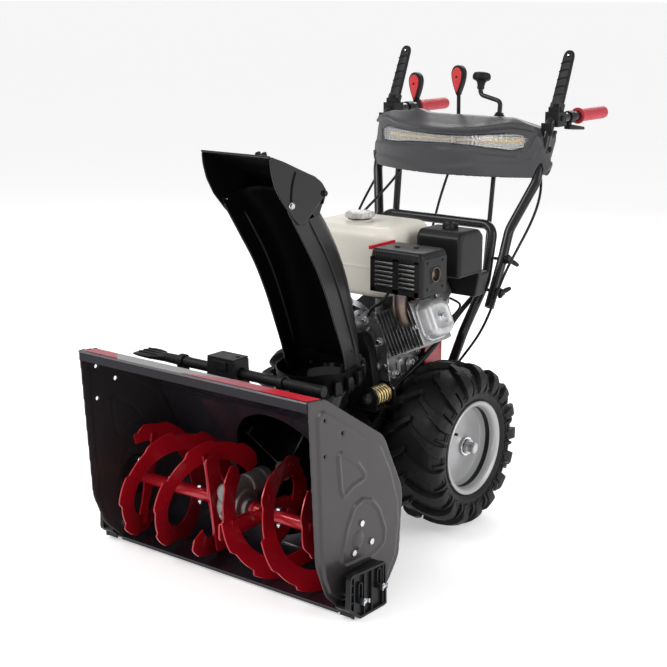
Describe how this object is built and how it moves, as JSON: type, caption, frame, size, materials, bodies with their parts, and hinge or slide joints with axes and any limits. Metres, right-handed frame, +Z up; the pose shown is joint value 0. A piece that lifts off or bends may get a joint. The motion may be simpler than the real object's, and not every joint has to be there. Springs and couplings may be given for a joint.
{
  "type": "two stage snowblower",
  "caption": "Walk-behind snow blower with an auger housing, a turning chute, a petrol engine, lugged tyres and a console with hand levers.",
  "frame": {"origin": "ground level under the centre of the overall box", "axes": "+Z up, +Y towards the operator's grips, -Y towards the auger housing, +X to the operator's left"},
  "size_m": [0.79, 1.3623, 1.1439],
  "materials": {
    "housing_paint": "satin paint, warm dark grey",
    "black_paint": "gloss black paint",
    "red_paint": "dark red gloss paint",
    "shroud_red": "red moulding",
    "black_plastic": "fine grained black moulding",
    "dash_plastic": "fine grained dark grey moulding",
    "cream_plastic": "pale cream moulding",
    "grip_rubber": "coral red rubber",
    "tyre": "black rubber",
    "rim_paint": "silver grey paint",
    "steel": "bare steel",
    "zinc": "yellow zinc plated steel",
    "bright": "bright plated steel",
    "cast_iron": "grey casting",
    "alloy": "cast aluminium",
    "belt_rubber": "black rubber",
    "cable_skin": "black plastic sleeve",
    "lens": "clear moulding",
    "lamps": "lamp strip"
  },
  "bodies": {
    "machine": {"housing_shell": "housing_paint", "side_plates": "housing_paint", "scraper_bar": "steel", "housing_bolts": "bright", "bearings": "steel", "gearbox_case": "cast_iron", "impeller_drum": "black_paint", "tool_clips": "black_plastic", "tractor_frame": "black_paint", "belt_cover": "black_plastic", "belts": "belt_rubber", "engine_block": "alloy", "valve_cover": "alloy", "muffler": "steel", "muffler_guard": "black_paint", "air_cleaner": "black_plastic", "fuel_tank": "cream_plastic", "fan_shroud": "shroud_red", "recoil_cover": "black_plastic", "lower_frame": "black_paint", "crank_sheath": "cable_skin", "cables": "cable_skin"},
    "shoe_left": {"skid_shoe_left": "black_paint"},
    "shoe_right": {"skid_shoe_right": "black_paint"},
    "auger": {"auger_shaft": "steel", "auger_left": "red_paint", "auger_right": "red_paint", "shear_bolts": "bright"},
    "impeller": {"impeller_shaft": "steel", "impeller": "black_paint"},
    "clean_out_tool": {"clean_out_tool": "black_plastic"},
    "chute": {"chute_ring": "black_plastic", "chute": "black_paint", "hinge_bolts": "bright"},
    "deflector": {"deflector": "black_paint"},
    "chute_worm": {"worm_coil": "zinc"},
    "wheels": {"axle": "steel", "rims": "rim_paint", "tyres": "tyre"},
    "hex_shaft": {"hex_shaft": "steel"},
    "friction_wheel": {"friction_wheel": "belt_rubber"},
    "drive_disc": {"drive_disc": "steel"},
    "crankshaft": {"crankshaft": "steel"},
    "fuel_cap": {"fuel_cap": "bright"},
    "recoil_grip": {"recoil_grip": "black_plastic"},
    "upper_handle": {"upper_handle": "black_paint", "fold_knobs": "black_plastic", "grips": "grip_rubber", "lever_brackets": "black_plastic", "dash": "dash_plastic", "lens": "lens", "lamp_bar": "lamps"},
    "crank_rod": {"crank_rod": "black_paint"},
    "crank_knob": {"crank_knob": "black_plastic"},
    "paddle_left": {"paddle_left": "black_plastic"},
    "paddle_right": {"paddle_right": "black_plastic"},
    "trigger_left": {"trigger_left": "black_plastic"},
    "trigger_right": {"trigger_right": "black_plastic"},
    "speed_lever": {"speed_lever": "black_plastic"},
    "deflector_lever": {"deflector_lever": "black_plastic"}
  },
  "joints": [
    {"name": "shoe_left_height", "type": "slide", "parent": "machine", "child": "shoe_left", "axis": [0, 0, 1], "range_m": [-0.03, 0]},
    {"name": "shoe_right_height", "type": "slide", "parent": "machine", "child": "shoe_right", "axis": [0, 0, 1], "range_m": [-0.03, 0]},
    {"name": "impeller_spin", "type": "hinge", "parent": "machine", "child": "impeller", "pos_m": [0, -0.269, 0.192], "axis": [0, 1, 0], "continuous": true},
    {"name": "auger_spin", "type": "hinge", "parent": "machine", "child": "auger", "pos_m": [0, -0.519, 0.155], "axis": [1, 0, 0], "continuous": true},
    {"name": "tool_draw", "type": "slide", "parent": "machine", "child": "clean_out_tool", "axis": [1, 0, 0], "range_m": [-0.25, 0]},
    {"name": "chute_turn", "type": "hinge", "parent": "machine", "child": "chute", "pos_m": [0, -0.224, 0.388], "axis": [0, -0.2079, 0.9781], "range_deg": [-95, 95]},
    {"name": "deflector_tilt", "type": "hinge", "parent": "chute", "child": "deflector", "pos_m": [0, -0.328, 0.854], "axis": [1, 0, 0], "range_deg": [0, 32]},
    {"name": "chute_worm_spin", "type": "hinge", "parent": "machine", "child": "chute_worm", "pos_m": [0.13, -0.167, 0.356], "axis": [0, 1, 0], "range_deg": [-1150, 1150]},
    {"name": "axle_spin", "type": "hinge", "parent": "machine", "child": "wheels", "pos_m": [0, 0.031, 0.203], "axis": [1, 0, 0], "continuous": true},
    {"name": "hex_shaft_spin", "type": "hinge", "parent": "machine", "child": "hex_shaft", "pos_m": [0, -0.0186, 0.258], "axis": [1, 0, 0], "continuous": true},
    {"name": "friction_wheel_shift", "type": "slide", "parent": "hex_shaft", "child": "friction_wheel", "axis": [1, 0, 0], "range_m": [-0.026, 0.026]},
    {"name": "drive_disc_spin", "type": "hinge", "parent": "machine", "child": "drive_disc", "pos_m": [0, -0.069, 0.258], "axis": [0, 1, 0], "continuous": true},
    {"name": "crankshaft_spin", "type": "hinge", "parent": "machine", "child": "crankshaft", "pos_m": [0, 0.031, 0.437], "axis": [0, 1, 0], "continuous": true},
    {"name": "fuel_cap_turn", "type": "hinge", "parent": "machine", "child": "fuel_cap", "pos_m": [-0.05, 0.001, 0.752], "axis": [0, 0, 1], "continuous": true},
    {"name": "recoil_pull", "type": "slide", "parent": "machine", "child": "recoil_grip", "axis": [-1, 0, 0], "range_m": [0, 0.045], "stiffness_N_per_m": 120, "springref_m": -0.05},
    {"name": "handle_fold", "type": "hinge", "parent": "machine", "child": "upper_handle", "pos_m": [0, 0.216, 0.556], "axis": [1, 0, 0], "range_deg": [-70, 0], "deforming": ["cables", "crank_sheath"]},
    {"name": "crank_rod_turn", "type": "hinge", "parent": "upper_handle", "child": "crank_rod", "pos_m": [0.152, 0.263, 0.566], "axis": [-0.0578, 0.218, 0.9742], "range_deg": [-1150, 1150]},
    {"name": "crank_knob_spin", "type": "hinge", "parent": "crank_rod", "child": "crank_knob", "pos_m": [0.06331, 0.36362, 1.02969], "axis": [-0.0578, 0.218, 0.9742], "continuous": true},
    {"name": "paddle_left_press", "type": "hinge", "parent": "upper_handle", "child": "paddle_left", "pos_m": [0.254, 0.427, 1.004], "axis": [1, 0, 0], "range_deg": [-52, 0], "stiffness_Nm_per_rad": 0.8, "springref_deg": 20.05},
    {"name": "paddle_right_press", "type": "hinge", "parent": "upper_handle", "child": "paddle_right", "pos_m": [-0.254, 0.427, 1.004], "axis": [1, 0, 0], "range_deg": [-52, 0], "stiffness_Nm_per_rad": 0.8, "springref_deg": 20.05},
    {"name": "trigger_left_press", "type": "hinge", "parent": "upper_handle", "child": "trigger_left", "pos_m": [0.254, 0.493, 0.948], "axis": [1, 0, 0], "range_deg": [0, 6], "stiffness_Nm_per_rad": 0.6, "springref_deg": -17.19},
    {"name": "trigger_right_press", "type": "hinge", "parent": "upper_handle", "child": "trigger_right", "pos_m": [-0.254, 0.493, 0.948], "axis": [1, 0, 0], "range_deg": [0, 6], "stiffness_Nm_per_rad": 0.6, "springref_deg": -17.19},
    {"name": "speed_lever_swing", "type": "hinge", "parent": "upper_handle", "child": "speed_lever", "pos_m": [0, 0.361, 0.93], "axis": [1, 0, 0], "range_deg": [-24, 24]},
    {"name": "deflector_lever_swing", "type": "hinge", "parent": "upper_handle", "child": "deflector_lever", "pos_m": [-0.12, 0.361, 0.93], "axis": [1, 0, 0], "range_deg": [0, 23]}
  ],
  "couplings": [
    {"joint": "auger_spin", "follows": "impeller_spin", "ratio": 0.1},
    {"joint": "chute_worm_spin", "follows": "chute_turn", "ratio": 12},
    {"joint": "crank_rod_turn", "follows": "chute_turn", "ratio": 12},
    {"joint": "hex_shaft_spin", "follows": "axle_spin", "ratio": -3.0868},
    {"joint": "friction_wheel_shift", "follows": "speed_lever_swing", "m_per_rad": 0.06},
    {"joint": "deflector_lever_swing", "follows": "deflector_tilt", "ratio": 0.7}
  ]
}
